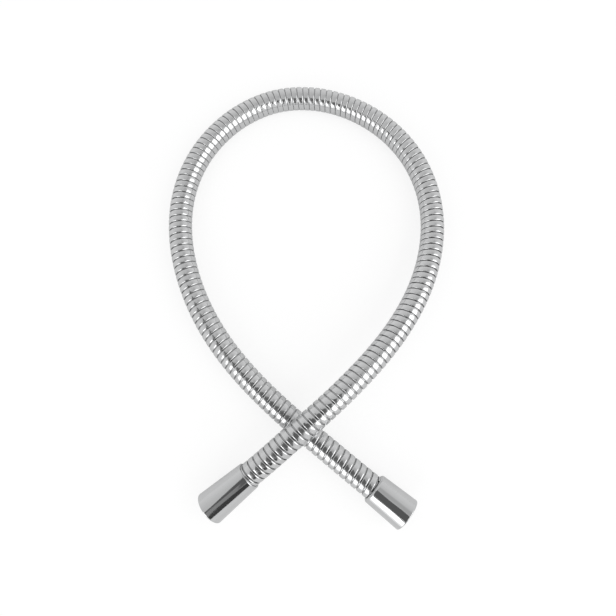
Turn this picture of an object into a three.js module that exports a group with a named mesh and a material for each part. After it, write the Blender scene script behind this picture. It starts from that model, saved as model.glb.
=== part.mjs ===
// Shower hose: a large-bore stripwound metal hose that lies on a floor in one open loop, crossing itself once.
// Each end has a conical nut that spins freely on a flanged, barbed tail: the long nut and the short nut.
// Millimetres, +Z up, z = 0 is the floor, and the origin is under the middle of the loop's outline.

import * as THREE from "three";

// Clearance between two neighbouring pieces that touch on the real hose
const FIT_GAP = 0.3;

// Hose wall, from the outside in: metal casing, sleeve spigot, liner, tail
const CASING_RADIUS = 8.75;
const CASING_WALL = 1.5;
const SPIGOT_WALL = 0.45;
const LINER_WALL = 1.2;
const BARB_HEIGHT = 0.35;
const TAIL_WALL = 0.65;

const CASING_BORE = CASING_RADIUS - CASING_WALL;
const SPIGOT_RADIUS = CASING_BORE - FIT_GAP;
const SLEEVE_BORE = SPIGOT_RADIUS - SPIGOT_WALL;
const LINER_RADIUS = SLEEVE_BORE - FIT_GAP;
const LINER_BORE = LINER_RADIUS - LINER_WALL;
const BARB_RADIUS = LINER_BORE - FIT_GAP;
const STEM_RADIUS = BARB_RADIUS - BARB_HEIGHT;
const TAIL_BORE = STEM_RADIUS - TAIL_WALL;

// Nut, seen from its mouth inwards: the socket for a G 1/2 thread, then a shoulder that keeps it on the tail
const SOCKET_RADIUS = 9.32;
const SOCKET_FREE_DEPTH = 8.5;
const SOCKET_LEAD_IN = 0.9;
const SHOULDER_THICKNESS = 2.4;
const NUT_MOUTH_RADIUS = 11.85;
const NUT_MOUTH_CHAMFER = 0.4;
const REAR_BORE = CASING_RADIUS + FIT_GAP;

const WASHER_THICKNESS = 2;
const WASHER_BORE = 5.5;
const FLANGE_THICKNESS = 1.8;
const SLIP_RING_THICKNESS = 1;
const NECK_RADIUS = 6.4;
const SLEEVE_HEAD_LENGTH = 6;
const SPIGOT_LENGTH = 7;
const CRIMP_DEPTH = 0.45;
const BARB_COUNT = 4;
const BARB_PITCH = 2.6;
const STEM_TIP = 1.2;

// Distances along an end's axis, measured inwards from the mouth of its nut
const WASHER_FRONT = SOCKET_FREE_DEPTH;
const WASHER_BACK = WASHER_FRONT + WASHER_THICKNESS;
const FLANGE_FRONT = WASHER_BACK + FIT_GAP;
const FLANGE_BACK = FLANGE_FRONT + FLANGE_THICKNESS;
const SLIP_RING_FRONT = FLANGE_BACK + FIT_GAP;
const SLIP_RING_BACK = SLIP_RING_FRONT + SLIP_RING_THICKNESS;
const SHOULDER_FRONT = SLIP_RING_BACK + FIT_GAP;
const SHOULDER_BACK = SHOULDER_FRONT + SHOULDER_THICKNESS;
const SLEEVE_FRONT = SHOULDER_BACK + FIT_GAP;
const SLEEVE_HEAD_BACK = SLEEVE_FRONT + SLEEVE_HEAD_LENGTH;
const SPIGOT_BACK = SLEEVE_HEAD_BACK + SPIGOT_LENGTH;
const CASING_START = SLEEVE_HEAD_BACK + FIT_GAP;
const NECK_BACK = SLEEVE_FRONT;
const LINER_START = NECK_BACK + FIT_GAP;

const FLANGE_RADIUS = SOCKET_RADIUS - FIT_GAP;
const SLIP_RING_BORE = NECK_RADIUS + FIT_GAP;
const SHOULDER_BORE = NECK_RADIUS + 2 * FIT_GAP;

// The two nuts differ only in length and taper
const LONG_NUT = { length: 36.5, rearRadius: 9.75, rearRound: 0.35 };
const SHORT_NUT = { length: 29, rearRadius: 10.8, rearRound: 1.1 };

// Facets
const ROUND_SIDES = 32;
const SMALL_ROUND_SIDES = 24;
const HOSE_SIDES = 12;
const CASING_STEPS = 76;
const LINER_STEPS = 60;
const ROUND_STEPS = 3;

// Where the hose lies. A lift of 1 is the height of the upper run above the lower one at the crossing.
const CROSSING_GAP = 0.5;
const CROSSING_LIFT = 2 * CASING_RADIUS + CROSSING_GAP;
const STRAIGHT_LEAD = 4.5;
const STRAIGHT_STEP = 10;
const LONG_END = { nut: LONG_NUT, mouth: [-66.2, -154.5], heading: -140.4, tilt: 11 };
const SHORT_END = { nut: SHORT_NUT, mouth: [69.7, -158.9], heading: -38.1, tilt: -taperAngle(SHORT_NUT) };

// The loop between the two straight ends: x, y and lift
const LOOP_POINTS = [
  [-9.6, -106.9, 0.95],
  [6.6, -93.1, 1.08],
  [28.8, -72.9, 1.07],
  [49.6, -51.5, 0.92],
  [68.1, -28.1, 0.71],
  [83.0, -2.3, 0.5],
  [93.0, 25.7, 0.3],
  [96.9, 55.3, 0.15],
  [93.1, 84.9, 0.05],
  [81.0, 112.2, 0.01],
  [61.3, 134.7, 0],
  [36.0, 150.6, 0],
  [7.2, 158.7, 0],
  [-22.6, 157.2, 0],
  [-49.9, 145.3, 0],
  [-72.3, 125.4, 0],
  [-88.1, 100.0, 0],
  [-96.0, 71.2, 0],
  [-96.0, 41.3, 0],
  [-89.5, 12.0, 0],
  [-78.0, -15.6, 0],
  [-62.2, -41.1, 0],
  [-43.0, -64.1, 0],
  [-21.5, -85.0, 0],
  [-2.2, -101.5, 0.01],
  [18.1, -118.0, 0.04],
];

const CHROME = { color: 0xc9ccd0, metalness: 1, roughness: 0.12 };
const STRIP_STEEL = { color: 0xbfc2c6, metalness: 1, roughness: 0.22 };
const BRASS = { color: 0xb8924a, metalness: 1, roughness: 0.35 };
const WASHER_RUBBER = { color: 0x1b1b1c, metalness: 0, roughness: 0.75 };
const ACETAL = { color: 0xe6e4dc, metalness: 0, roughness: 0.45 };
const LINER_POLYMER = { color: 0xd8d9d6, metalness: 0, roughness: 0.5 };

// Slope in degrees of a nut's conical side, on which a nut lies when nothing lifts its hose
function taperAngle(nut) {
  const run = nut.length - nut.rearRound - NUT_MOUTH_CHAMFER;
  return THREE.MathUtils.radToDeg(Math.atan2(NUT_MOUTH_RADIUS - nut.rearRadius, run));
}

// Corner radius of a hole with flat facets, so that the facets keep the hole's own radius clear
function holeRadius(radius, sides) {
  return radius / Math.cos(Math.PI / sides);
}

// A closed solid of revolution: outline points are [radius, distance from the mouth], outside going inwards first
function turned(outline, sides) {
  const points = outline.map(([radius, along]) => new THREE.Vector2(radius, along));
  points.push(points[0].clone());
  return new THREE.LatheGeometry(points, sides);
}

function ring(outerRadius, boreRadius, front, back, sides) {
  const bore = holeRadius(boreRadius, sides);
  return turned([[outerRadius, front], [outerRadius, back], [bore, back], [bore, front]], sides);
}

// Nut: conical outside with a chamfered mouth and a rounded rear edge, threaded socket, shoulder and rear bore
function nutGeometry(nut) {
  const socket = holeRadius(SOCKET_RADIUS, ROUND_SIDES);
  const shoulder = holeRadius(SHOULDER_BORE, ROUND_SIDES);
  const rear = holeRadius(REAR_BORE, ROUND_SIDES);
  const outline = [
    [NUT_MOUTH_RADIUS - NUT_MOUTH_CHAMFER, 0],
    [NUT_MOUTH_RADIUS, NUT_MOUTH_CHAMFER],
  ];
  for (let step = 0; step <= ROUND_STEPS; step += 1) {
    const turn = (Math.PI / 2) * (step / ROUND_STEPS);
    outline.push([
      nut.rearRadius - nut.rearRound * (1 - Math.cos(turn)),
      nut.length - nut.rearRound * (1 - Math.sin(turn)),
    ]);
  }
  outline.push(
    [rear, nut.length],
    [rear, SHOULDER_BACK],
    [shoulder, SHOULDER_BACK],
    [shoulder, SHOULDER_FRONT],
    [socket, SHOULDER_FRONT],
    [socket, SOCKET_LEAD_IN],
    [socket + SOCKET_LEAD_IN, 0],
  );
  return turned(outline, ROUND_SIDES);
}

// Tail: a flange that the washer seals on, a neck through the shoulder, and a barbed stem inside the liner
function tailGeometry() {
  const outline = [
    [FLANGE_RADIUS, FLANGE_FRONT],
    [FLANGE_RADIUS, FLANGE_BACK],
    [NECK_RADIUS, FLANGE_BACK],
    [NECK_RADIUS, NECK_BACK],
    [STEM_RADIUS, NECK_BACK],
  ];
  for (let barb = 0; barb < BARB_COUNT; barb += 1) {
    const crest = NECK_BACK + BARB_PITCH / 2 + barb * BARB_PITCH;
    outline.push([STEM_RADIUS, crest], [BARB_RADIUS, crest]);
  }
  const lastRoot = NECK_BACK + BARB_PITCH / 2 + BARB_COUNT * BARB_PITCH;
  const bore = holeRadius(TAIL_BORE, SMALL_ROUND_SIDES);
  outline.push(
    [STEM_RADIUS, lastRoot],
    [bore, lastRoot + STEM_TIP],
    [bore, FLANGE_FRONT],
  );
  return turned(outline, SMALL_ROUND_SIDES);
}

// Sleeve: a head that the casing butts on, with a rolled crimp, and a thin spigot that reaches into the casing
function sleeveGeometry() {
  const bore = holeRadius(SLEEVE_BORE, SMALL_ROUND_SIDES);
  const middle = (SLEEVE_FRONT + SLEEVE_HEAD_BACK) / 2;
  const crimpHalfWidth = SLEEVE_HEAD_LENGTH / 6;
  return turned(
    [
      [CASING_RADIUS, SLEEVE_FRONT],
      [CASING_RADIUS, middle - crimpHalfWidth],
      [CASING_RADIUS - CRIMP_DEPTH, middle],
      [CASING_RADIUS, middle + crimpHalfWidth],
      [CASING_RADIUS, SLEEVE_HEAD_BACK],
      [SPIGOT_RADIUS, SLEEVE_HEAD_BACK],
      [SPIGOT_RADIUS, SPIGOT_BACK],
      [bore, SPIGOT_BACK],
      [bore, SLEEVE_FRONT],
    ],
    SMALL_ROUND_SIDES,
  );
}

// Unit vector along an end's axis, from the mouth of its nut into the hose
function inwardAxis(end) {
  const heading = THREE.MathUtils.degToRad(end.heading);
  const tilt = THREE.MathUtils.degToRad(end.tilt);
  return new THREE.Vector3(
    -Math.cos(heading) * Math.cos(tilt),
    -Math.sin(heading) * Math.cos(tilt),
    Math.sin(tilt),
  );
}

// Middle of an end's mouth, at the height where the lower edge of its nut rests on the floor
function mouthCentre(end) {
  const tilt = THREE.MathUtils.degToRad(end.tilt);
  const corners = [
    [NUT_MOUTH_RADIUS, NUT_MOUTH_CHAMFER],
    [end.nut.rearRadius, end.nut.length - end.nut.rearRound],
  ];
  const heights = corners.map(([radius, along]) => radius * Math.cos(tilt) - along * Math.sin(tilt));
  return new THREE.Vector3(end.mouth[0], end.mouth[1], Math.max(...heights));
}

// Three points on an end's axis, so that the hose leaves its nut straight
function straightPoints(end, start) {
  const lead = end.nut.length + STRAIGHT_LEAD;
  return [start, lead, lead + STRAIGHT_STEP].map((distance) =>
    mouthCentre(end).addScaledVector(inwardAxis(end), distance),
  );
}

// Centreline of the hose from the long end to the short end
function route(start) {
  const loop = LOOP_POINTS.map(([x, y, lift]) => new THREE.Vector3(x, y, CASING_RADIUS + lift * CROSSING_LIFT));
  return new THREE.CatmullRomCurve3([
    ...straightPoints(LONG_END, start),
    ...loop,
    ...straightPoints(SHORT_END, start).reverse(),
  ]);
}

// A round tube that follows the route
function tubeGeometry(outerRadius, boreRadius, start, steps) {
  const polygon = (radius) =>
    Array.from({ length: HOSE_SIDES }, (_, corner) => {
      const angle = (2 * Math.PI * corner) / HOSE_SIDES;
      return new THREE.Vector2(radius * Math.cos(angle), radius * Math.sin(angle));
    });
  const section = new THREE.Shape(polygon(outerRadius));
  section.holes.push(new THREE.Path(polygon(holeRadius(boreRadius, HOSE_SIDES))));
  return new THREE.ExtrudeGeometry(section, { steps, extrudePath: route(start), bevelEnabled: false });
}

function piece(name, geometry, finish) {
  const mesh = new THREE.Mesh(geometry, new THREE.MeshStandardMaterial(finish));
  mesh.name = name;
  return mesh;
}

// One end of the hose, built along its own +Y from the mouth inwards and then laid on its axis
function hoseEnd(name, end) {
  const group = new THREE.Group();
  group.add(
    piece(`${name}_nut`, nutGeometry(end.nut), CHROME),
    piece(
      `${name}_washer`,
      ring(FLANGE_RADIUS, WASHER_BORE, WASHER_FRONT, WASHER_BACK, SMALL_ROUND_SIDES),
      WASHER_RUBBER,
    ),
    piece(`${name}_tail`, tailGeometry(), BRASS),
    piece(
      `${name}_slip_ring`,
      ring(FLANGE_RADIUS, SLIP_RING_BORE, SLIP_RING_FRONT, SLIP_RING_BACK, SMALL_ROUND_SIDES),
      ACETAL,
    ),
    piece(`${name}_sleeve`, sleeveGeometry(), BRASS),
  );
  const inward = inwardAxis(end);
  const side = new THREE.Vector3().crossVectors(inward, new THREE.Vector3(0, 0, 1)).normalize();
  const upward = new THREE.Vector3().crossVectors(side, inward);
  group.quaternion.setFromRotationMatrix(new THREE.Matrix4().makeBasis(side, inward, upward));
  group.position.copy(mouthCentre(end));
  return group;
}

const hose = new THREE.Group();
hose.add(
  piece("hose_casing", tubeGeometry(CASING_RADIUS, CASING_BORE, CASING_START, CASING_STEPS), STRIP_STEEL),
  piece("liner_tube", tubeGeometry(LINER_RADIUS, LINER_BORE, LINER_START, LINER_STEPS), LINER_POLYMER),
  hoseEnd("long", LONG_END),
  hoseEnd("short", SHORT_END),
);

export default hose;
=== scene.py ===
"""Dresses the solids of a large-bore stripwound shower hose and sets a pale studio round it.

The hose lies on the floor in one open loop that crosses itself, and has a conical swivel nut on each end.
Everything is in metres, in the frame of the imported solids: +Z is up and the floor is at z = 0.
"""

from __future__ import annotations

import bisect
import logging
import math
from collections.abc import Sequence
from dataclasses import dataclass, field
from enum import Enum
from itertools import accumulate

import bmesh
import bpy
from mathutils import Euler, Matrix, Vector, noise

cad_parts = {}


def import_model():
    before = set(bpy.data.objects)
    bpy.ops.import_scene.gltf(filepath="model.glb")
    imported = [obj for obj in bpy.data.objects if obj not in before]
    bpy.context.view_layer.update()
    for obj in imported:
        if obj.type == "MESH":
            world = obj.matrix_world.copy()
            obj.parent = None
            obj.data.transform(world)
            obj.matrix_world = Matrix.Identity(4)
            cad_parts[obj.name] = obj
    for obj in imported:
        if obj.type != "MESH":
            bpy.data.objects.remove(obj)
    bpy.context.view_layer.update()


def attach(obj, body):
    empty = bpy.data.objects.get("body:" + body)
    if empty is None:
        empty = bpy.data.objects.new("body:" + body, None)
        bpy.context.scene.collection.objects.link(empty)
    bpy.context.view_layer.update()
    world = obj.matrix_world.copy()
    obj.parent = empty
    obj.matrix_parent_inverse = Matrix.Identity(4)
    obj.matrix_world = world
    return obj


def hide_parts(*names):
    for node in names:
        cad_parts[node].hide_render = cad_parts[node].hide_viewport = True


log = logging.getLogger("shower_hose")

HOSE_BODY = "hose_body"
MM = 0.001

# Shading
CROWN_SEGMENTS = 3
HOLD_MARGIN = 0.25 * MM
SHARP_ANGLE = math.radians(40)
MOTTLE_RANGE = (0.3, 0.7)
MOTTLE_DETAIL = 3
MARK_DETAIL = 2

# Unevenness of the casing's turns
WANDER_SEED = 7
WANDER_STEP = 1.7
WANDER_LINE = (0.37, 4.1)

# Roundings of edges
BARB_ROUND = 0.05 * MM
FINE_ROUND = 0.1 * MM
RIM_ROUND = 0.12 * MM
RING_ROUND = 0.15 * MM
EDGE_ROUND = 0.2 * MM
BORE_ROUND = 0.3 * MM
WASHER_ROUND = 0.35 * MM
CRIMP_ROUND = 0.4 * MM

Corner = tuple[float, float, float]
Colour = tuple[float, float, float]
Mesh = bmesh.types.BMesh
Socket = bpy.types.NodeSocket


class Graph:
    """A node tree that starts empty and is filled by short calls."""

    def __init__(self, tree: bpy.types.NodeTree) -> None:
        """Empties the node tree of a material or world."""
        self.tree = tree
        tree.nodes.clear()

    def add(
        self, kind: str, inputs: dict[str | int, object] | None = None, **settings: object
    ) -> bpy.types.Node:
        """Adds one node.

        Args:
            kind: type name of the node
            inputs: value of each input, or the output that feeds it, by the input's name or number
            settings: attributes of the node and their values

        Returns:
            The new node.
        """
        node = self.tree.nodes.new(kind)
        for name, value in settings.items():
            setattr(node, name, value)
        for key, value in (inputs or {}).items():
            if isinstance(value, Socket):
                self.tree.links.new(value, node.inputs[key])
            else:
                node.inputs[key].default_value = value
        return node

    def surface(self, shader: bpy.types.Node, kind: str = "ShaderNodeOutputMaterial") -> None:
        """Adds an output node for a shader."""
        self.add(kind, {"Surface": shader.outputs[0]})

    def math(self, operation: str, *values: Socket | float) -> Socket:
        """Adds a Math node and returns its result."""
        return self.add("ShaderNodeMath", dict(enumerate(values)), operation=operation).outputs[0]

    def map_range(self, value: Socket, source: tuple[float, float], target: tuple[float, float]) -> Socket:
        """Adds a smooth Map Range node.

        Args:
            value: socket to map
            source: range of the value
            target: range of the result

        Returns:
            The result's socket.
        """
        names = ("From Min", "From Max", "To Min", "To Max")
        inputs = {"Value": value, **dict(zip(names, (*source, *target)))}
        return self.add("ShaderNodeMapRange", inputs, interpolation_type="SMOOTHSTEP").outputs["Result"]

    def angle_to(self, vector: Socket, direction: Vector) -> Socket:
        """Returns the angle in degrees between a unit vector and a fixed direction."""
        dot = self.add("ShaderNodeVectorMath", {0: vector, 1: direction}, operation="DOT_PRODUCT")
        return self.math("MULTIPLY", self.math("ARCCOSINE", dot.outputs["Value"]), math.degrees(1))

    def noise(self, vector: Socket, scale: float, detail: float) -> Socket:
        """Returns a noise pattern of a scale, with layers of finer noise."""
        inputs = {"Vector": vector, "Scale": scale, "Detail": detail}
        return self.add("ShaderNodeTexNoise", inputs).outputs["Fac"]


def node_material(name: str) -> tuple[bpy.types.Material, Graph]:
    """Makes a material with an empty node tree.

    Args:
        name: name of the material

    Returns:
        The material and its graph.
    """
    material = bpy.data.materials.new(name)
    material.use_nodes = True
    return material, Graph(material.node_tree)


class Marks(Enum):
    """Fine marks left by the making of a piece, as the stretch of their grain along X, Y and Z."""

    TURNED = (60, 60, 1600)
    ROLLED = (0.9, 34, 0)
    MOULDED = (700, 700, 700)


@dataclass(frozen=True)
class Finish:
    """A procedural surface finish.

    Attributes:
        slot: material slot of the record
        colour: base colour
        metallic: 1 for bare or plated metal, and 0 otherwise
        roughness: lowest and highest roughness of the mottled surface
        marks: fine marks in the surface
        mark_height: depth of those marks
        mottle_scale: patches of dull and bright surface in a metre
        shade: how much darker the dull patches are
    """

    slot: str
    colour: Colour
    metallic: float
    roughness: tuple[float, float]
    marks: Marks
    mark_height: float = 0.004 * MM
    mottle_scale: float = 90
    shade: float = 0.06

    def material(self, name: str, place: Matrix) -> bpy.types.Material:
        """Makes the material for one piece.

        Args:
            name: name of the material
            place: place and turn of the piece, whose own Z axis the turned marks go round

        Returns:
            The material.
        """
        material, graph = node_material(name)
        coordinates = graph.add("ShaderNodeTexCoord")
        mottle = graph.noise(coordinates.outputs["Object"], self.mottle_scale, MOTTLE_DETAIL)
        marks = graph.noise(self.mark_vector(graph, coordinates, place), 1, MARK_DETAIL)
        bump = graph.add("ShaderNodeBump", {"Strength": 1, "Distance": self.mark_height, "Height": marks})
        inputs = {
            "Metallic": self.metallic,
            "Roughness": graph.map_range(mottle, MOTTLE_RANGE, self.roughness),
            "Base Color": self.base_colour(graph, mottle),
            "Normal": bump.outputs["Normal"],
        }
        graph.surface(graph.add("ShaderNodeBsdfPrincipled", inputs))
        return material

    def mark_vector(self, graph: Graph, coordinates: bpy.types.Node, place: Matrix) -> Socket:
        """Gives the coordinates of the fine marks.

        Args:
            graph: node tree of the material
            coordinates: Texture Coordinate node
            place: place and turn of the piece

        Returns:
            The coordinates' socket.
        """
        if self.marks is Marks.ROLLED:
            source = coordinates.outputs["UV"]
        else:
            inputs = {
                "Location": place.translation,
                "Rotation": place.to_euler(),
                "Vector": coordinates.outputs["Object"],
            }
            source = graph.add("ShaderNodeMapping", inputs, vector_type="TEXTURE").outputs["Vector"]
        inputs = {"Scale": self.marks.value, "Vector": source}
        return graph.add("ShaderNodeMapping", inputs, vector_type="POINT").outputs["Vector"]

    def base_colour(self, graph: Graph, mottle: Socket) -> Socket:
        """Makes the colour, a little darker in the dull patches.

        Args:
            graph: node tree of the material
            mottle: pattern of dull and bright patches

        Returns:
            The colour's socket.
        """
        mix = graph.add("ShaderNodeMix", {"Factor": mottle}, data_type="RGBA")
        clean, dull = (socket for socket in mix.inputs if socket.type == "RGBA")
        clean.default_value = (*self.colour, 1)
        dull.default_value = (*(channel * (1 - self.shade) for channel in self.colour), 1)
        return next(socket for socket in mix.outputs if socket.type == "RGBA")


@dataclass(frozen=True)
class StripFinish(Finish):
    """The finish of the casing's steel strip, with painted shade and some grime darkening it down in the
    grooves between its turns.

    Attributes:
        groove_attribute: name of the attribute that is 0 on the bands and 1 down in the grooves
        groove_range: depths, as values of that attribute, where the painted shade and grime start and
            where they are full
        groove_shade_and_grime: how much of the colour is left in the grooves under the painted shade and
            grime
    """

    groove_attribute: str = "groove"
    groove_range: tuple[float, float] = (0.05, 0.9)
    groove_shade_and_grime: float = 0.55

    def base_colour(self, graph: Graph, mottle: Socket) -> Socket:
        """Makes the colour, much darker in the grooves under painted shade and some grime.

        Args:
            graph: node tree of the material
            mottle: pattern of dull and bright patches

        Returns:
            The colour's socket.
        """
        # Painted shade, with some grime, darkens the colour towards the bottom of the grooves
        depth = graph.add("ShaderNodeAttribute", attribute_name=self.groove_attribute)
        shade = graph.map_range(depth.outputs["Fac"], self.groove_range, (1, self.groove_shade_and_grime))
        inputs = {0: super().base_colour(graph, mottle), "Scale": shade}
        return graph.add("ShaderNodeVectorMath", inputs, operation="SCALE").outputs[0]


# Slot, colour, metallic, lowest and highest roughness, fine marks and their depth
CHROME = Finish("nut_chrome", (0.665, 0.67, 0.675), 1, (0.05, 0.1), Marks.TURNED, 0.0015 * MM)
STRIP_STEEL = StripFinish(
    "strip_steel", (0.715, 0.72, 0.725), 1, (0.12, 0.2), Marks.ROLLED, 0.004 * MM, shade=0.1
)
TURNED_BRASS = Finish(
    "tail_brass", (0.62, 0.47, 0.22), 1, (0.26, 0.42), Marks.TURNED, 0.006 * MM, shade=0.15
)
RUBBER = Finish(
    "washer_rubber", (0.022, 0.022, 0.023), 0, (0.62, 0.8), Marks.MOULDED, 0.01 * MM, shade=0.2
)
ACETAL = Finish("acetal", (0.8, 0.79, 0.75), 0, (0.38, 0.5), Marks.MOULDED, 0.004 * MM, shade=0.04)
LINER_POLYMER = Finish(
    "liner_polymer", (0.7, 0.71, 0.7), 0, (0.4, 0.55), Marks.MOULDED, 0.006 * MM, shade=0.05
)


@dataclass
class WallSizes:
    """Layers of the hose wall from the outside in, and the clearance between neighbouring pieces."""

    fit_gap: float = 0.3 * MM
    casing_radius: float = 8.75 * MM
    casing_wall: float = 1.5 * MM
    spigot_wall: float = 0.45 * MM
    liner_wall: float = 1.2 * MM
    barb_height: float = 0.35 * MM
    tail_wall: float = 0.65 * MM

    def __post_init__(self) -> None:
        """Works out the radii of the pieces, one inside the other."""
        self.casing_bore = self.casing_radius - self.casing_wall
        self.spigot_radius = self.casing_bore - self.fit_gap
        self.sleeve_bore = self.spigot_radius - self.spigot_wall
        self.liner_radius = self.sleeve_bore - self.fit_gap
        self.liner_bore = self.liner_radius - self.liner_wall
        self.barb_radius = self.liner_bore - self.fit_gap
        self.stem_radius = self.barb_radius - self.barb_height
        self.tail_bore = self.stem_radius - self.tail_wall


@dataclass(frozen=True)
class NutSizes:
    """Sizes in which the two nuts differ."""

    length: float
    rear_radius: float
    rear_round: float


@dataclass
class EndSizes:
    """Sizes that both ends share."""

    wall: WallSizes = field(default_factory=WallSizes)
    nut_mouth_radius: float = 11.85 * MM
    nut_mouth_chamfer: float = 0.4 * MM
    socket_radius: float = 9.32 * MM
    socket_free_depth: float = 8.5 * MM
    shoulder_thickness: float = 2.4 * MM
    washer_thickness: float = 2 * MM
    washer_bore: float = 5.5 * MM
    flange_thickness: float = 1.8 * MM
    slip_ring_thickness: float = 1 * MM
    neck_radius: float = 6.4 * MM
    sleeve_head_length: float = 6 * MM
    spigot_length: float = 7 * MM
    crimp_depth: float = 0.45 * MM
    crimp_share: float = 1 / 6
    barb_count: int = 4
    barb_pitch: float = 2.6 * MM
    stem_tip: float = 1.2 * MM
    rear_lip_gap: float = 0.13 * MM
    rear_lip_length: float = 0.5 * MM
    rear_lip_slope: float = 0.3 * MM

    def __post_init__(self) -> None:
        """Works out each face's distance inwards from the nut's mouth, and the radii that fit others."""
        gap = self.wall.fit_gap
        self.washer_back = self.socket_free_depth + self.washer_thickness
        self.flange_front = self.washer_back + gap
        self.flange_back = self.flange_front + self.flange_thickness
        self.slip_ring_front = self.flange_back + gap
        self.slip_ring_back = self.slip_ring_front + self.slip_ring_thickness
        self.shoulder_front = self.slip_ring_back + gap
        self.shoulder_back = self.shoulder_front + self.shoulder_thickness
        self.sleeve_front = self.shoulder_back + gap
        self.sleeve_head_back = self.sleeve_front + self.sleeve_head_length
        self.casing_start = self.sleeve_head_back + gap
        self.liner_start = self.sleeve_front + gap
        self.flange_radius = self.socket_radius - gap
        self.slip_ring_bore = self.neck_radius + gap
        self.shoulder_bore = self.neck_radius + 2 * gap
        self.rear_bore = self.wall.casing_radius + gap


@dataclass(frozen=True)
class Thread:
    """The G 1/2 thread of both nuts, the chamfer in front of it and the step behind it."""

    pitch: float = 1.814 * MM
    major_radius: float = 10.4775 * MM
    minor_radius: float = 9.3155 * MM
    start: float = 1.1 * MM
    end: float = 8.1 * MM
    crest_width: float = 0.3 * MM
    root_width: float = 0.3 * MM
    run_out: float = 0.35
    foot_sink: float = 0.05 * MM
    chamfer_width: float = 0.45 * MM
    chamfer_depth: float = 0.5 * MM
    step_length: float = 0.1 * MM
    step_slope: float = 0.3 * MM


def towards(heading: float, elevation: float) -> Vector:
    """Returns the unit vector for a compass angle and a height over the horizon, both in degrees."""
    turn, rise = math.radians(heading), math.radians(elevation)
    return Vector((math.cos(turn) * math.cos(rise), math.sin(turn) * math.cos(rise), math.sin(rise)))


@dataclass(frozen=True)
class EndPlace:
    """Where one end lies.

    Attributes:
        name: prefix of its nodes
        nut: its nut
        mouth: x and y of the middle of the nut's mouth
        heading: compass angle in degrees that the mouth faces
        tilt: rise in degrees of the axis from the mouth inwards
        sizes: sizes that both ends share
    """

    name: str
    nut: NutSizes
    mouth: tuple[float, float]
    heading: float
    tilt: float
    sizes: EndSizes

    def inward(self) -> Vector:
        """Returns the unit vector along the axis from the mouth into the hose."""
        return -towards(self.heading, -self.tilt)

    def mouth_centre(self) -> Vector:
        """Finds the mouth, with the lower edge of the nut on the floor.

        Returns:
            The middle of the mouth.
        """
        tilt = math.radians(self.tilt)
        edges = (
            (self.sizes.nut_mouth_radius, self.sizes.nut_mouth_chamfer),
            (self.nut.rear_radius, self.nut.length - self.nut.rear_round),
        )
        height = max(radius * math.cos(tilt) - along * math.sin(tilt) for radius, along in edges)
        return Vector((*self.mouth, height))

    def point(self, distance: float) -> Vector:
        """Returns the point on the axis at a distance inwards from the mouth."""
        return self.mouth_centre() + distance * self.inward()

    def place(self) -> Matrix:
        """Gives the place of a piece that is built along +Z from the mouth.

        Returns:
            The matrix that lays it on the end's axis.
        """
        inward = self.inward()
        side = inward.cross(Vector((0, 0, 1))).normalized()
        across = inward.cross(side)
        turn = Matrix((side, across, inward)).transposed()
        return Matrix.Translation(self.mouth_centre()) @ turn.to_4x4()


def arcs_along(line: Sequence[Vector]) -> list[float]:
    """Returns the distance of each point along a line."""
    return list(accumulate(((end - start).length for start, end in zip(line, line[1:])), initial=0.0))


def locate(arcs: Sequence[float], arc: float) -> tuple[int, float]:
    """Returns the span of a line that a distance falls in, and its share of that span."""
    span = min(bisect.bisect_right(arcs, arc), len(arcs) - 1) - 1
    return span, (arc - arcs[span]) / (arcs[span + 1] - arcs[span])


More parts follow.
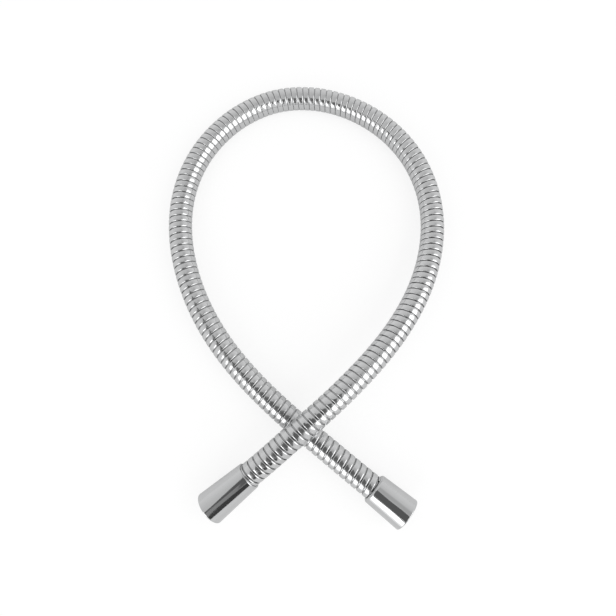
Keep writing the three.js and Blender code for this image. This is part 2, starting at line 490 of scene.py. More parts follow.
@dataclass
class Route:
    """Centreline of the hose: a centripetal Catmull-Rom curve, sampled evenly and eased a little.

    Attributes:
        points: points that the hose goes through
        span_samples: samples between two neighbouring points
        step: distance between two samples of the finished line
        easing: passes that take the jumps out of the bend
    """

    points: Sequence[Vector]
    span_samples: int = 80
    step: float = 1 * MM
    easing: int = 60
    line: list[Vector] = field(init=False)
    sides: list[Vector] = field(init=False)
    arcs: list[float] = field(init=False)

    def __post_init__(self) -> None:
        """Samples the line and carries a side vector along it."""
        self.line = self.eased(self.even(self.sampled()))
        self.arcs = arcs_along(self.line)
        self.sides = self.carried()

    @property
    def length(self) -> float:
        """Length of the line."""
        return self.arcs[-1]

    def sampled(self) -> list[Vector]:
        """Samples the Catmull-Rom curve.

        Returns:
            Close points on the curve.
        """
        first, last = 2 * self.points[0] - self.points[1], 2 * self.points[-1] - self.points[-2]
        knots = [first, *self.points, last]
        line = []
        for before, start, end, after in zip(knots, knots[1:], knots[2:], knots[3:]):
            gaps = [math.sqrt((b - a).length) for a, b in ((before, start), (start, end), (end, after))]
            here = (end - start) / gaps[1]
            leave = (start - before) / gaps[0] - (end - before) / (gaps[0] + gaps[1]) + here
            reach = here - (after - start) / (gaps[1] + gaps[2]) + (after - end) / gaps[2]
            leave, reach = leave * gaps[1], reach * gaps[1]
            for sample in range(self.span_samples):
                t = sample / self.span_samples
                cubic = 2 * start - 2 * end + leave + reach
                square = -3 * start + 3 * end - 2 * leave - reach
                line.append(start + t * leave + t**2 * square + t**3 * cubic)
        return [*line, self.points[-1].copy()]

    def even(self, line: list[Vector]) -> list[Vector]:
        """Spaces the samples evenly.

        Args:
            line: close points on the curve

        Returns:
            Points at even distances.
        """
        arcs = arcs_along(line)
        count = round(arcs[-1] / self.step)
        spaced = []
        for index in range(count + 1):
            span, share = locate(arcs, arcs[-1] * index / count)
            spaced.append(line[span].lerp(line[span + 1], share))
        return spaced

    def eased(self, line: list[Vector]) -> list[Vector]:
        """Averages each inner point with its neighbours, a few times over.

        Args:
            line: evenly spaced points

        Returns:
            The eased points.
        """
        for _ in range(self.easing):
            inner = [(a + 2 * b + c) / 4 for a, b, c in zip(line, line[1:], line[2:])]
            line = [line[0], *inner, line[-1]]
        return line

    def tangent(self, index: int) -> Vector:
        """Returns the line's direction at a sample."""
        low, high = max(index - 1, 0), min(index + 1, len(self.line) - 1)
        return (self.line[high] - self.line[low]).normalized()

    def carried(self) -> list[Vector]:
        """Carries one side vector along the line without letting it twist.

        Returns:
            The side vector at each sample.
        """
        side = self.tangent(0).orthogonal().normalized()
        sides = []
        for index in range(len(self.line)):
            tangent = self.tangent(index)
            side = (side - side.dot(tangent) * tangent).normalized()
            sides.append(side)
        return sides

    def section(self, arc: float) -> Matrix:
        """Gives the place of a cross-section.

        Args:
            arc: distance along the line

        Returns:
            A matrix whose X and Y lie in the cross-section, and whose Z runs along the line from there.
        """
        span, share = locate(self.arcs, min(max(arc, 0.0), self.length))
        tangent = self.tangent(span).lerp(self.tangent(span + 1), share).normalized()
        side = self.sides[span].lerp(self.sides[span + 1], share)
        side = (side - side.dot(tangent) * tangent).normalized()
        turn = Matrix((side, tangent.cross(side), tangent)).transposed()
        return Matrix.Translation(self.line[span].lerp(self.line[span + 1], share)) @ turn.to_4x4()


def spin(mesh: Mesh, angle: float, steps: int, rise: float = 0, merge: bool = False) -> None:
    """Spins a whole bmesh round the Z axis.

    Args:
        mesh: the section, which is changed
        angle: angle in radians
        steps: number of steps
        rise: rise along Z with each step
        merge: joins the last step to the first
    """
    bmesh.ops.spin(
        mesh,
        geom=mesh.verts[:] + mesh.edges[:] + mesh.faces[:],
        cent=(0, 0, 0),
        axis=(0, 0, 1),
        dvec=(0, 0, rise),
        angle=angle,
        steps=steps,
        use_merge=merge,
        use_duplicate=False,
    )


def looped(mesh: Mesh, points: Sequence[tuple[float, float]]) -> list[bmesh.types.BMVert]:
    """Adds a closed loop of edges to a bmesh, in the plane of X and Z.

    Args:
        mesh: the bmesh, which is changed
        points: radius and distance along Z of each corner

    Returns:
        The new corners.
    """
    corners = [mesh.verts.new((radius, 0, along)) for radius, along in points]
    for start, end in zip(corners, [*corners[1:], corners[0]]):
        mesh.edges.new((start, end))
    return corners


def held(outline: Sequence[Corner]) -> list[Corner]:
    """Adds a corner close to both ends of each long straight run, so that its shading stays straight.

    Args:
        outline: corners as radius, distance along Z and rounding

    Returns:
        The outline with the extra corners, which aren't rounded.
    """
    corners = []
    for start, end in zip(outline, [*outline[1:], outline[0]]):
        corners.append(start)
        near, far = start[2] + HOLD_MARGIN, end[2] + HOLD_MARGIN
        run = math.dist(start[:2], end[:2])
        if run > 2 * (near + far):
            for share in (near / run, 1 - far / run):
                radius, along = (a + share * (b - a) for a, b in zip(start[:2], end[:2]))
                corners.append((radius, along, 0))
    return corners


def turned(outline: Sequence[Corner], sides: int) -> Mesh:
    """Spins a closed outline round the Z axis.

    Args:
        outline: corners as radius, distance along Z and rounding, in order round the section
        sides: facets round the axis

    Returns:
        The closed solid.
    """
    corners = held(outline)
    mesh = bmesh.new()
    mesh.faces.new([mesh.verts.new((radius, 0, along)) for radius, along, _ in corners])
    mesh.verts.ensure_lookup_table()
    roundings = {mesh.verts[index]: corner[2] for index, corner in enumerate(corners)}
    for rounding in sorted(set(roundings.values()) - {0}):
        bmesh.ops.bevel(
            mesh,
            geom=[corner for corner, size in roundings.items() if size == rounding and corner.is_valid],
            offset=rounding,
            offset_type="OFFSET",
            affect="VERTICES",
            segments=CROWN_SEGMENTS,
            profile=0.5,
            material=-1,
        )
    bmesh.ops.delete(mesh, geom=mesh.faces[:], context="FACES_ONLY")
    spin(mesh, math.tau, sides, merge=True)
    bmesh.ops.recalc_face_normals(mesh, faces=mesh.faces[:])
    return mesh


def mesh_data(name: str, mesh: Mesh) -> bpy.types.Mesh:
    """Stores a bmesh as mesh data and frees it.

    Args:
        name: name of the data
        mesh: the bmesh

    Returns:
        The mesh data.
    """
    data = bpy.data.meshes.new(name)
    mesh.to_mesh(data)
    mesh.free()
    return data


def linked(name: str, data: bpy.types.ID) -> bpy.types.Object:
    """Makes an object and links it to the scene.

    Args:
        name: name of the object
        data: its mesh, lamp or camera

    Returns:
        The new object.
    """
    made = bpy.data.objects.new(name, data)
    bpy.context.scene.collection.objects.link(made)
    return made


def new_piece(name: str, mesh: Mesh, material: bpy.types.Material) -> bpy.types.Object:
    """Makes an object at the origin from a bmesh, smooth except at its sharp edges.

    Args:
        name: name of the piece
        mesh: its shape, already in its place
        material: its finish

    Returns:
        The new object.
    """
    for face in mesh.faces:
        face.smooth = True
    data = mesh_data(name, mesh)
    data.set_sharp_from_angle(angle=SHARP_ANGLE)
    data.materials.append(material)
    return linked(name, data)


def finished(
    name: str, mesh: Mesh, finish: Finish, node: str, body: str, place: Matrix
) -> bpy.types.Object:
    """Makes a piece of the hose, hides the node that it stands for, and puts it on the body that carries
    it.

    Args:
        name: name of the piece
        mesh: its shape, already in its place
        finish: its finish
        node: node that it replaces
        body: body that it rides on
        place: place and turn of its own axis

    Returns:
        The new object.
    """
    piece = new_piece(name, mesh, finish.material(name, place))
    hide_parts(node)
    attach(piece, body)
    log.info("%s: %d faces on %s", name, len(piece.data.polygons), body)
    return piece


@dataclass(frozen=True)
class StripSection:
    """Section of the casing's strip: an outer band, a web, and an inner flange under the next turn's band.

    Attributes:
        pitch: mean distance between two turns
        gap: groove between the bands of two turns on a straight hose
        crown: rise of the band's middle over the start of its rounded shoulders
        shoulder: width and depth of those shoulders
        lip: height of the band's straight edge under a shoulder
        thickness: thickness of the strip
        groove_depth: depth of the inner flange under the top of the band
        overlap: reach of the inner flange under the next band
    """

    pitch: float = 4.8 * MM
    gap: float = 0.75 * MM
    crown: float = 0.02 * MM
    shoulder: tuple[float, float] = (0.8 * MM, 0.4 * MM)
    lip: float = 0.2 * MM
    thickness: float = 0.38 * MM
    groove_depth: float = 0.95 * MM
    overlap: float = 1.6 * MM

    def corners(self, radius: float) -> list[tuple[float, float]]:
        """Gives the section's corners.

        Args:
            radius: outer radius of the casing

        Returns:
            Offset along the hose and radius of each corner, in order round the section.
        """
        half = (self.pitch - self.gap) / 2
        width, depth = self.shoulder
        top = radius - self.crown
        curve = []
        for step in range(CROWN_SEGMENTS + 1):
            angle = math.pi / 2 * step / CROWN_SEGMENTS
            offset = half - width * (1 - math.sin(angle))
            curve.append((offset, top - depth * (1 - math.cos(angle))))
        tip = top - depth - self.lip
        web = half - self.thickness
        reach = half + self.gap + self.overlap
        inner = radius - self.groove_depth
        inner_back = inner - self.thickness
        left = [(-half, tip), *((-offset, height) for offset, height in reversed(curve))]
        flange = [(half, inner), (reach, inner), (reach, inner_back), (web, inner_back)]
        return [*left, (0, radius), *curve, *flange, (web, tip)]


@dataclass
class HoseWall:
    """The wall of the hose: the stripwound casing and the liner inside it.

    Attributes:
        ends: the two ends, in the order of the route
        loop: points of the route between them, as x, y and lift
        crossing_gap: clearance between the two runs where the hose crosses itself
        straight_lead: straight hose behind each nut
        straight_step: distance from there to the next point of the route
        strip: section of the strip
        turn_sides: facets in one turn of the strip
        end_pitch: how much longer the pitch is at the two ends than the mean pitch, as a share
        wander: unevenness of the turns along and across the hose
        liner_sides: facets round the liner
        liner_step: distance between two rings of the liner
    """

    ends: tuple[EndPlace, EndPlace]
    loop: Sequence[tuple[float, float, float]]
    crossing_gap: float = 0.5 * MM
    straight_lead: float = 4.5 * MM
    straight_step: float = 10 * MM
    strip: StripSection = StripSection()
    turn_sides: int = 36
    end_pitch: float = 0.03
    wander: tuple[float, float] = (0.05 * MM, 0.025 * MM)
    liner_sides: int = 24
    liner_step: float = 4 * MM

    def route(self, start: float) -> Route:
        """Lays out the centreline.

        Args:
            start: distance from each mouth at which it starts and ends

        Returns:
            The route from the first end to the second.
        """
        radius = self.ends[0].sizes.wall.casing_radius
        lift = 2 * radius + self.crossing_gap
        loop = [Vector((x, y, radius + share * lift)) for x, y, share in self.loop]
        leads = []
        for end in self.ends:
            lead = end.nut.length + self.straight_lead
            leads.append([end.point(distance) for distance in (start, lead, lead + self.straight_step)])
        return Route([*leads[0], *loop, *reversed(leads[1])])

    def build_casing(self) -> bpy.types.Object:
        """Winds the casing from one long strip and lays it on the route.

        Returns:
            The casing.
        """
        sizes = self.ends[0].sizes
        route = self.route(sizes.casing_start)
        corners = self.strip.corners(sizes.wall.casing_radius)
        before, after = -min(offset for offset, _ in corners), max(offset for offset, _ in corners)
        run = route.length - before - after
        turns = round(run / self.strip.pitch)
        mesh = self.wound_strip(corners, turns)
        self.lay(mesh, route, before, run, turns)
        log.info("casing: %d turns on %.3f m of hose", turns, route.length)
        return finished("casing_strip", mesh, STRIP_STEEL, "hose_casing", HOSE_BODY, Matrix())

    def wound_strip(self, corners: list[tuple[float, float]], turns: int) -> Mesh:
        """Winds the strip round a straight Z axis, one full turn by a spin and the others by an array.

        Args:
            corners: offset and radius of each corner of the section
            turns: number of turns

        Returns:
            The closed strip, whose vertices keep their offset, share round the section and depth.
        """
        mesh = bmesh.new()
        offset_layer = mesh.verts.layers.float.new("offset")
        share_layer = mesh.verts.layers.float.new("share")
        groove_layer = mesh.verts.layers.float.new("groove")
        top = max(radius for _, radius in corners)
        made = looped(mesh, [(radius, offset) for offset, radius in corners])
        for index, (corner, (offset, radius)) in enumerate(zip(made, corners)):
            corner[offset_layer] = offset
            corner[share_layer] = index / len(corners)
            # The depth into the groove masks the strip's painted shade and grime
            corner[groove_layer] = min((top - radius) / self.strip.groove_depth, 1)
        spin(mesh, math.tau, self.turn_sides, rise=self.strip.pitch / self.turn_sides)
        data = mesh_data("one_turn", mesh)
        carrier = linked("one_turn", data)
        array = carrier.modifiers.new("turns", "ARRAY")
        array.count = turns
        array.use_relative_offset = False
        array.use_constant_offset = True
        array.constant_offset_displace = (0, 0, self.strip.pitch)
        array.use_merge_vertices = True
        array.merge_threshold = 0.005 * MM
        evaluated = carrier.evaluated_get(bpy.context.evaluated_depsgraph_get())
        whole = bpy.data.meshes.new_from_object(evaluated)
        wound = bmesh.new()
        wound.from_mesh(whole)
        bpy.data.objects.remove(carrier)
        bpy.data.meshes.remove(data)
        bpy.data.meshes.remove(whole)
        open_edges = [edge for edge in wound.edges if edge.is_boundary]
        bmesh.ops.holes_fill(wound, edges=open_edges, sides=0)
        bmesh.ops.recalc_face_normals(wound, faces=wound.faces[:])
        return wound

    def lay(self, mesh: Mesh, route: Route, start: float, run: float, turns: int) -> None:
        """Lays the straight strip on the route, with rigid sections, so that grooves open outside a bend.

        Args:
            mesh: the straight strip, which is changed
            route: centreline
            start: distance along the route of the first turn
            run: length of hose that the turns share
            turns: number of turns
        """
        offset_layer = mesh.verts.layers.float["offset"]
        share_layer = mesh.verts.layers.float["share"]
        winding = mesh.loops.layers.uv.new("winding")
        pitch = run / turns
        wave = math.tau / turns
        along_wander, across_wander = self.wander
        noise.seed_set(WANDER_SEED)
        for vertex in mesh.verts:
            offset = vertex[offset_layer]
            turn = (vertex.co.z - offset) / self.strip.pitch
            arc = start + pitch * (turn + self.end_pitch / wave * math.sin(wave * turn))
            uneven = noise.noise_vector((turn * WANDER_STEP, *WANDER_LINE))
            radius = math.hypot(vertex.co.x, vertex.co.y) + across_wander * min(uneven.x, 0)
            angle = math.tau * turn
            for loop in vertex.link_loops:
                loop[winding].uv = (turn, vertex[share_layer])
            along = offset + along_wander * uneven.y
            local = Vector((radius * math.cos(angle), radius * math.sin(angle), along))
            vertex.co = route.section(arc) @ local

    def build_liner(self) -> bpy.types.Object:
        """Makes the water tube inside the casing.

        Returns:
            The liner.
        """
        sizes = self.ends[0].sizes
        route = self.route(sizes.liner_start)
        rings = round(route.length / self.liner_step)
        arcs = [route.length * ring / rings for ring in range(rings + 1)]
        outside = [(sizes.wall.liner_radius, arc) for arc in arcs]
        inside = [(sizes.wall.liner_bore, arc) for arc in reversed(arcs)]
        mesh = bmesh.new()
        looped(mesh, outside + inside)
        spin(mesh, math.tau, self.liner_sides, merge=True)
        for vertex in mesh.verts:
            vertex.co = route.section(vertex.co.z) @ Vector((*vertex.co.xy, 0))
        bmesh.ops.recalc_face_normals(mesh, faces=mesh.faces[:])
        return finished("liner_wall", mesh, LINER_POLYMER, "liner_tube", HOSE_BODY, Matrix())


@dataclass
class SwivelEnd:
    """One end of the hose: the nut that spins, its washer, and the tail, slip ring and sleeve inside it.

    Attributes:
        end: where the end lies, and its sizes
        thread: thread in the nut's socket
        nut_sides: facets round the nut
        inner_sides: facets round the pieces inside it
        thread_sides: facets in one turn of the thread
    """

    end: EndPlace
    thread: Thread = Thread()
    nut_sides: int = 96
    inner_sides: int = 64
    thread_sides: int = 48

    def build(self) -> list[bpy.types.Object]:
        """Builds every piece of this end.

        Returns:
            The nut, washer, tail, slip ring and sleeve.
        """
        name, place = self.end.name, self.end.place()
        swivel = f"{name}_swivel"
        pieces = []
        for node, own_name, mesh, finish, body in (
            ("nut", "nut_shell", self.nut(), CHROME, swivel),
            ("washer", "washer_ring", self.washer(), RUBBER, swivel),
            ("tail", "tail_insert", self.tail(), TURNED_BRASS, HOSE_BODY),
            ("slip_ring", "slip_collar", self.slip_ring(), ACETAL, HOSE_BODY),
            ("sleeve", "sleeve_ferrule", self.sleeve(), TURNED_BRASS, HOSE_BODY),
        ):
            bmesh.ops.transform(mesh, matrix=place, verts=mesh.verts[:])
            pieces.append(finished(f"{name}_{own_name}", mesh, finish, f"{name}_{node}", body, place))
        return pieces

    def nut(self) -> Mesh:
        """Turns the conical nut with its threaded socket, shoulder and rear bore.

        Returns:
            The nut along +Z.
        """
        sizes, nut, thread = self.end.sizes, self.end.nut, self.thread
        step = sizes.socket_free_depth - thread.step_length
        lip_radius = sizes.wall.casing_radius + sizes.rear_lip_gap
        lip_front = nut.length - sizes.rear_lip_length
        mesh = turned(
            [
                (sizes.nut_mouth_radius - sizes.nut_mouth_chamfer, 0, RIM_ROUND),
                (sizes.nut_mouth_radius, sizes.nut_mouth_chamfer, EDGE_ROUND),
                (nut.rear_radius, nut.length, nut.rear_round),
                (lip_radius, nut.length, RIM_ROUND),
                (lip_radius, lip_front, 0),
                (sizes.rear_bore, lip_front - sizes.rear_lip_slope, 0),
                (sizes.rear_bore, sizes.shoulder_back, FINE_ROUND),
                (sizes.shoulder_bore, sizes.shoulder_back, FINE_ROUND),
                (sizes.shoulder_bore, sizes.shoulder_front, FINE_ROUND),
                (sizes.socket_radius, sizes.shoulder_front, FINE_ROUND),
                (sizes.socket_radius, step, 0),
                (thread.major_radius, step - thread.step_slope, 0),
                (thread.major_radius, thread.chamfer_depth, 0),
                (thread.major_radius + thread.chamfer_width, 0, RIM_ROUND),
            ],
            self.nut_sides,
        )
        self.cut_thread(mesh)
        return mesh

    def cut_thread(self, mesh: Mesh) -> None:
        """Winds the ridge of the thread round the socket, with both ends of it running out into the wall.

        Args:
            mesh: the nut along +Z, which gets the ridge
        """
        thread = self.thread
        root = thread.major_radius + thread.foot_sink
        half_root = (thread.pitch - thread.root_width) / 2
        turns = (thread.end - thread.start) / thread.pitch
        steps = round(turns * self.thread_sides)
        section = [
            (root, -half_root),
            (thread.minor_radius, -thread.crest_width / 2),
            (thread.minor_radius, thread.crest_width / 2),
            (root, half_root),
        ]
        ridge = bmesh.new()
        offset_layer = ridge.verts.layers.float.new("offset")
        for radius, offset in section:
            corner = ridge.verts.new((radius, 0, thread.start + offset))
            corner[offset_layer] = offset
        ridge.faces.new(ridge.verts[:])
        spin(ridge, math.tau * turns, steps, rise=thread.pitch / self.thread_sides)
        for vertex in ridge.verts:
            turn = (vertex.co.z - vertex[offset_layer] - thread.start) / thread.pitch
            share = min(turn, turns - turn, thread.run_out) / thread.run_out
            radius = math.hypot(vertex.co.x, vertex.co.y)
            vertex.co.xy *= (root + (radius - root) * share) / radius
        bmesh.ops.recalc_face_normals(ridge, faces=ridge.faces[:])
        data = mesh_data("ridge", ridge)
        mesh.from_mesh(data)
        bpy.data.meshes.remove(data)

    def ring(self, bore: float, front: float, back: float, rounding: float) -> Mesh:
        """Makes a flat ring as wide as the tail's flange.

        Args:
            bore: radius of its hole
            front: distance of its front face
            back: distance of its back face
            rounding: rounding of its edges

        Returns:
            The ring along +Z.
        """
        outer = self.end.sizes.flange_radius
        corners = ((outer, front), (outer, back), (bore, back), (bore, front))
        return turned([(radius, along, rounding) for radius, along in corners], self.inner_sides)

    def washer(self) -> Mesh:
        """Returns the rubber washer, with soft moulded edges."""
        sizes = self.end.sizes
        return self.ring(sizes.washer_bore, sizes.socket_free_depth, sizes.washer_back, WASHER_ROUND)

    def slip_ring(self) -> Mesh:
        """Returns the slip ring between the flange and the nut's shoulder."""
        sizes = self.end.sizes
        return self.ring(sizes.slip_ring_bore, sizes.slip_ring_front, sizes.slip_ring_back, RING_ROUND)

    def tail(self) -> Mesh:
        """Turns the flanged tail with its barbed stem and waterway.

        Returns:
            The tail along +Z.
        """
        sizes, wall = self.end.sizes, self.end.sizes.wall
        outline = [
            (sizes.flange_radius, sizes.flange_front, EDGE_ROUND),
            (sizes.flange_radius, sizes.flange_back, EDGE_ROUND),
            (sizes.neck_radius, sizes.flange_back, RING_ROUND),
            (sizes.neck_radius, sizes.sleeve_front, EDGE_ROUND),
            (wall.stem_radius, sizes.sleeve_front, 0),
        ]
        for barb in range(sizes.barb_count):
            crest = sizes.sleeve_front + sizes.barb_pitch * (barb + 0.5)
            outline += [(wall.stem_radius, crest, 0), (wall.barb_radius, crest, BARB_ROUND)]
        last_root = sizes.sleeve_front + sizes.barb_pitch * (sizes.barb_count + 0.5)
        outline += [
            (wall.stem_radius, last_root, FINE_ROUND),
            (wall.tail_bore, last_root + sizes.stem_tip, 0),
            (wall.tail_bore, sizes.flange_front, BORE_ROUND),
        ]
        return turned(outline, self.inner_sides)

    def sleeve(self) -> Mesh:
        """Turns the sleeve with its crimped head and thin spigot.

        Returns:
            The sleeve along +Z.
        """
        sizes, wall = self.end.sizes, self.end.sizes.wall
        spigot_back = sizes.sleeve_head_back + sizes.spigot_length
        middle = (sizes.sleeve_front + sizes.sleeve_head_back) / 2
        half = sizes.sleeve_head_length * sizes.crimp_share
        return turned(
            [
                (wall.casing_radius, sizes.sleeve_front, EDGE_ROUND),
                (wall.casing_radius, middle - half, RING_ROUND),
                (wall.casing_radius - sizes.crimp_depth, middle, CRIMP_ROUND),
                (wall.casing_radius, middle + half, RING_ROUND),
                (wall.casing_radius, sizes.sleeve_head_back, EDGE_ROUND),
                (wall.spigot_radius, sizes.sleeve_head_back, 0),
                (wall.spigot_radius, spigot_back, FINE_ROUND),
                (wall.sleeve_bore, spigot_back, FINE_ROUND),
                (wall.sleeve_bore, sizes.sleeve_front, FINE_ROUND),
            ],
            self.inner_sides,
        )


def level(height: float, *places: tuple[float, float]) -> tuple[Corner, ...]:
    """Returns corners at one height, given by their x and y."""
    return tuple((*place, height) for place in places)


@dataclass(frozen=True)
class Softbox:
    """A soft area lamp, placed by the direction in which the hose sees it.

    Attributes:
        name: name of the lamp
        heading: compass angle in degrees from the hose to the lamp
        elevation: its height over the horizon in degrees
        width: its level size
        height: its upright size
        brightness: how bright its face looks, where 1 is white
        distance: distance from the hose
    """

    name: str
    heading: float
    elevation: float
    width: float
    height: float
    brightness: float
    distance: float = 3

    def build(self) -> None:
        """Adds the lamp, facing the middle of the hose."""
        lamp = bpy.data.lights.new(self.name, "AREA")
        lamp.shape = "RECTANGLE"
        lamp.size, lamp.size_y = self.width, self.height
        lamp.energy = self.brightness * math.pi * self.width * self.height
        away = towards(self.heading, self.elevation)
        holder = linked(self.name, lamp)
        holder.location = away * self.distance
        holder.rotation_euler = away.to_track_quat("Z", "Y").to_euler()


@dataclass(frozen=True)
class Flag:
    """A dark flat card near the hose, which shows only in reflections.

    Attributes:
        name: name of the card
        corners: its corners
        brightness: how bright it is, where 1 is white
    """

    name: str
    corners: tuple[Corner, ...]
    brightness: float

    def build(self) -> None:
        """Adds the card."""
        mesh = bmesh.new()
        corners = [mesh.verts.new(corner) for corner in self.corners]
        bmesh.ops.contextual_create(mesh, geom=corners)
        material, graph = node_material(self.name)
        graph.surface(graph.add("ShaderNodeEmission", {"Strength": self.brightness}))
        card = new_piece(self.name, mesh, material)
        card.visible_camera = False
        card.visible_diffuse = False
        card.visible_shadow = False


@dataclass(frozen=True)
class Patch:
    """A round patch of the room that is darker or brighter than the rest, with its angles in degrees.

    Attributes:
        heading: compass angle of its middle
        elevation: height of its middle over the horizon
        radius: angle from its middle to its edge
        softness: half of the angle over which its edge fades
        brightness: how bright it is, where 1 is white
    """

    heading: float
    elevation: float
    radius: float
    softness: float
    brightness: float


@dataclass(frozen=True)
class Studio:
    """The pale floor, the room round it, the soft lamps and the camera.

    Attributes:
        softboxes: area lamps
        flags: dark cards where the photographer and the camera stand
        overhead_brightness: brightness of the room straight above
        level_brightness: brightness of the room near the horizon
        patches: patches of the room, each painted over those before it
        floor_size: width of the floor
        floor_colour: grey of the floor under the lamps
        floor_white: brightness of the plain white in the floor
        floor_glow: share of it in the floor that the camera sees
        floor_gleam: share of it in the floor that the metal reflects
        camera_place: place of the camera
        camera_tilt: angle in degrees between its line of sight and straight down
        camera_clip: nearest and farthest distance that it sees
        lens: focal length in mm
        sensor_width: width in mm of its sensor
    """

    softboxes: tuple[Softbox, ...] = (
        Softbox("key_softbox", heading=-22, elevation=37, width=3.2, height=2.5, brightness=1.35),
        Softbox("side_softbox", heading=-130, elevation=32, width=1.69, height=1.95, brightness=1.6),
    )
    flags: tuple[Flag, ...] = (
        Flag(
            "overhead_flag",
            level(
                0.4,
                *((-0.30, 0.05), (-0.20, 0.03), (-0.10, -0.07), (0, -0.15), (0.13, -0.14)),
                *((0.13, -0.27), (0.05, -0.30), (0.08, -0.47), (-0.11, -0.47), (-0.10, -0.42)),
                *((-0.14, -0.37), (-0.26, -0.33), (-0.25, -0.26), (-0.18, -0.16), (-0.30, -0.06)),
            ),
            0.13,
        ),
        Flag(
            "left_flag",
            level(
                0.39,
                *((-0.225, -0.34), (-0.16, -0.28), (-0.09, -0.39)),
                *((-0.06, -0.45), (-0.11, -0.45), (-0.16, -0.47)),
            ),
            0.3,
        ),
        Flag(
            "front_flag",
            ((0.08, -0.47, 0.16), (0.08, -0.47, 0.4), (-0.11, -0.47, 0.4), (-0.03, -0.47, 0.16)),
            0.06,
        ),
        Flag("camera_flag", level(0.41, (-0.1, -0.16), (0.1, -0.16), (0.1, -0.02), (-0.1, -0.02)), 0.14),
    )
    overhead_brightness: float = 0.61
    level_brightness: float = 0.84
    patches: tuple[Patch, ...] = (
        Patch(heading=-119, elevation=10, radius=18, softness=9, brightness=1.2),
        Patch(heading=-106, elevation=53, radius=12, softness=3, brightness=0.3),
        Patch(heading=38, elevation=66, radius=13, softness=7, brightness=0.52),
    )
    floor_size: float = 12
    floor_colour: float = 0.74
    floor_white: float = 1.14
    floor_glow: float = 0.7
    floor_gleam: float = 0.15
    camera_place: tuple[float, float, float] = (0.00159, -0.08229, 0.37585)
    camera_tilt: float = 10.62
    camera_clip: tuple[float, float] = (0.01, 50)
    lens: float = 29.22
    sensor_width: float = 36

    def build(self) -> None:
        """Builds the whole studio."""
        bpy.context.scene.view_settings.view_transform = "Standard"
        self.build_world()
        self.build_floor()
        for light in (*self.softboxes, *self.flags):
            light.build()
        self.build_camera()
        log.info("studio: %d softboxes and %d flags", len(self.softboxes), len(self.flags))

    def build_world(self) -> None:
        """Makes the room: white to the camera, and pale with its patches to everything else."""
        world = bpy.data.worlds.new("studio")
        bpy.context.scene.world = world
        world.use_nodes = True
        graph = Graph(world.node_tree)
        direction = graph.add("ShaderNodeTexCoord").outputs["Generated"]
        levels = (self.overhead_brightness, self.level_brightness)
        brightness = graph.map_range(graph.angle_to(direction, Vector((0, 0, 1))), (0, 90), levels)
        for patch in self.patches:
            angle = graph.angle_to(direction, towards(patch.heading, patch.elevation))
            edge = (patch.radius - patch.softness, patch.radius + patch.softness)
            outside = graph.map_range(angle, edge, (0, 1))
            excess = graph.math("SUBTRACT", brightness, patch.brightness)
            brightness = graph.math("ADD", graph.math("MULTIPLY", excess, outside), patch.brightness)
        camera_ray = graph.add("ShaderNodeLightPath").outputs["Is Camera Ray"]
        seen = graph.math("MAXIMUM", brightness, camera_ray)
        background = graph.add("ShaderNodeBackground", {"Color": (1, 1, 1, 1), "Strength": seen})
        graph.surface(background, "ShaderNodeOutputWorld")

    def build_floor(self) -> None:
        """Makes the floor, which looks white and keeps the soft shadow of the hose."""
        mesh = bmesh.new()
        bmesh.ops.create_grid(mesh, x_segments=1, y_segments=1, size=self.floor_size / 2)
        material, graph = node_material("floor")
        paint = graph.add("ShaderNodeBsdfDiffuse", {"Color": (*[self.floor_colour] * 3, 1)})
        glow = graph.add("ShaderNodeEmission", {"Strength": self.floor_white})
        rays = graph.add("ShaderNodeLightPath").outputs
        reflected = graph.math("MAXIMUM", rays["Is Glossy Ray"], rays["Is Transmission Ray"])
        gleam = graph.math("MULTIPLY", reflected, self.floor_gleam)
        seen_glow = graph.math("MULTIPLY", rays["Is Camera Ray"], self.floor_glow)
        share = graph.math("MAXIMUM", gleam, seen_glow)
        inputs = {"Fac": share, 1: paint.outputs[0], 2: glow.outputs[0]}
        graph.surface(graph.add("ShaderNodeMixShader", inputs))
        new_piece("floor", mesh, material)

    def build_camera(self) -> None:
        """Places the camera over the nuts' side of the loop, looking down."""
        camera = bpy.data.cameras.new("camera")
        camera.lens, camera.sensor_width = self.lens, self.sensor_width
        camera.clip_start, camera.clip_end = self.camera_clip
        holder = linked("camera", camera)
        holder.location = self.camera_place
        holder.rotation_euler = Euler((math.radians(self.camera_tilt), 0, 0))
        bpy.context.scene.camera = holder


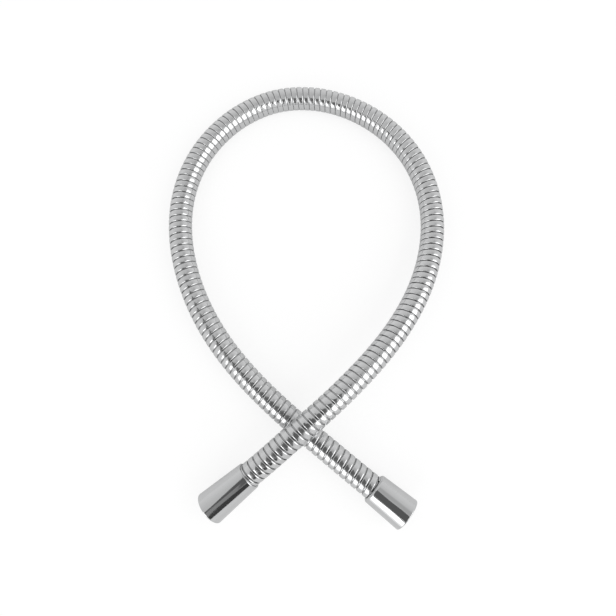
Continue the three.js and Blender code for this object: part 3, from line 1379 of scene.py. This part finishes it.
SIZES = EndSizes()
LONG_END = EndPlace(
    name="long",
    nut=NutSizes(length=36.5 * MM, rear_radius=9.75 * MM, rear_round=0.6 * MM),
    mouth=(-0.0662, -0.1545),
    heading=-140.4,
    tilt=11,
    sizes=SIZES,
)
SHORT_END = EndPlace(
    name="short",
    nut=NutSizes(length=29 * MM, rear_radius=10.8 * MM, rear_round=1.7 * MM),
    mouth=(0.0697, -0.1589),
    heading=-38.1,
    tilt=-2.18659,
    sizes=SIZES,
)

# The loop between the two straight ends: x, y, and height as a share of the rise at the crossing
LOOP = (
    (-0.0096, -0.1069, 0.95),
    (0.0066, -0.0931, 1.08),
    (0.0288, -0.0729, 1.07),
    (0.0496, -0.0515, 0.92),
    (0.0681, -0.0281, 0.71),
    (0.0830, -0.0023, 0.5),
    (0.0930, 0.0257, 0.3),
    (0.0969, 0.0553, 0.15),
    (0.0931, 0.0849, 0.05),
    (0.0810, 0.1122, 0.01),
    (0.0613, 0.1347, 0),
    (0.0360, 0.1506, 0),
    (0.0072, 0.1587, 0),
    (-0.0226, 0.1572, 0),
    (-0.0499, 0.1453, 0),
    (-0.0723, 0.1254, 0),
    (-0.0881, 0.1000, 0),
    (-0.0960, 0.0712, 0),
    (-0.0960, 0.0413, 0),
    (-0.0895, 0.0120, 0),
    (-0.0780, -0.0156, 0),
    (-0.0622, -0.0411, 0),
    (-0.0430, -0.0641, 0),
    (-0.0215, -0.0850, 0),
    (-0.0022, -0.1015, 0.01),
    (0.0181, -0.1180, 0.04),
)


def declare_hose(wall: HoseWall) -> None:
    """Args:
        wall: the hose wall
    """
    route = wall.route(SIZES.casing_start)
    rings = round(route.length / wall.strip.pitch)
    path = [tuple(route.section(route.length * ring / rings).translation) for ring in range(rings + 1)]


def main() -> None:
    """Builds the studio, the hose wall and both swivel ends."""
    logging.basicConfig(level=logging.INFO, format="%(name)s: %(message)s")
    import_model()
    Studio().build()
    wall = HoseWall(ends=(LONG_END, SHORT_END), loop=LOOP)
    casing = wall.build_casing()
    fittings = [wall.build_liner()]
    for end in wall.ends:
        fittings += SwivelEnd(end).build()
    declare_hose(wall)


if __name__ == "__main__":
    main()
